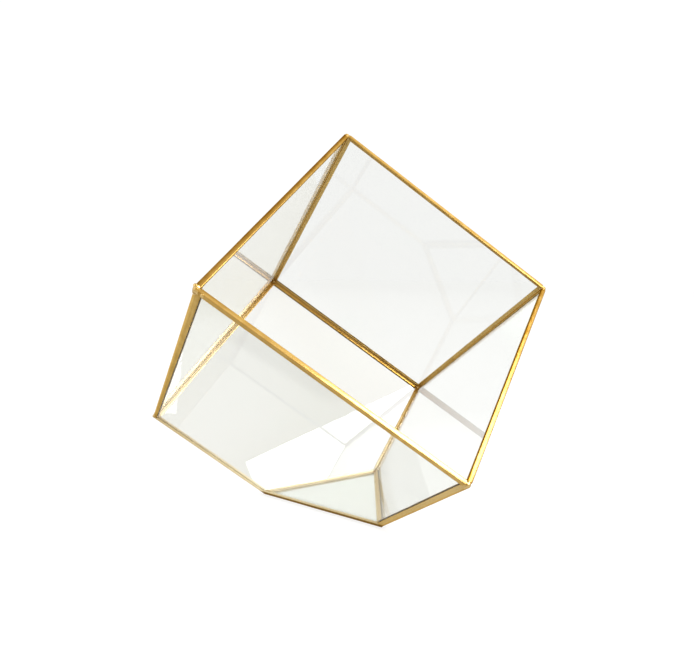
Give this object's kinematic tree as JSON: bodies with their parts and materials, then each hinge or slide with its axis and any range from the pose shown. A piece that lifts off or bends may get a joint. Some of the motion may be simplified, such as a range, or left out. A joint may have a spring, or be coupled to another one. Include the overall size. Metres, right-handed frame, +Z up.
{
  "type": "empty glass plant terrarium",
  "caption": "Tilted cube of clear glass panes edged in folded brass strip, standing on a corner that is cut off flat, with the front upper pane left out as the mouth.",
  "frame": {"origin": "centre of the three-sided base, on the surface that the terrarium stands on, straight below the top corner", "axes": "+Z up, along the cube's long diagonal; -Y towards the mouth, which faces forwards and up; +X to the right of someone who looks into the mouth"},
  "size_m": [0.212, 0.2435, 0.2227],
  "materials": {
    "pane_glass": "clear sheet glass, 1.8 mm, faintly grey-green at the cut edges",
    "brass_strip": "folded brass strip, satin to bright, slightly uneven along its length",
    "solder": "brass-coloured solder, smooth and rounded where it froze"
  },
  "bodies": {
    "root": {"pane_upper_left": "pane_glass", "pane_upper_right": "pane_glass", "pane_lower_left": "pane_glass", "pane_lower_right": "pane_glass", "pane_lower_back": "pane_glass", "pane_base": "pane_glass", "rim_upper_left": "brass_strip", "rim_upper_right": "brass_strip", "rim_lower_left": "brass_strip", "rim_lower_right": "brass_strip", "came_ridge": "brass_strip", "came_left": "brass_strip", "came_right": "brass_strip", "came_back_left": "brass_strip", "came_back_right": "brass_strip", "came_leg_front": "brass_strip", "came_leg_left": "brass_strip", "came_leg_right": "brass_strip", "came_base_left": "brass_strip", "came_base_right": "brass_strip", "came_base_back": "brass_strip", "solder_top": "solder", "solder_left": "solder", "solder_right": "solder", "solder_front": "solder", "solder_back": "solder", "solder_low_left": "solder", "solder_low_right": "solder", "solder_foot_left": "solder", "solder_foot_front": "solder", "solder_foot_right": "solder"}
  },
  "joints": []
}
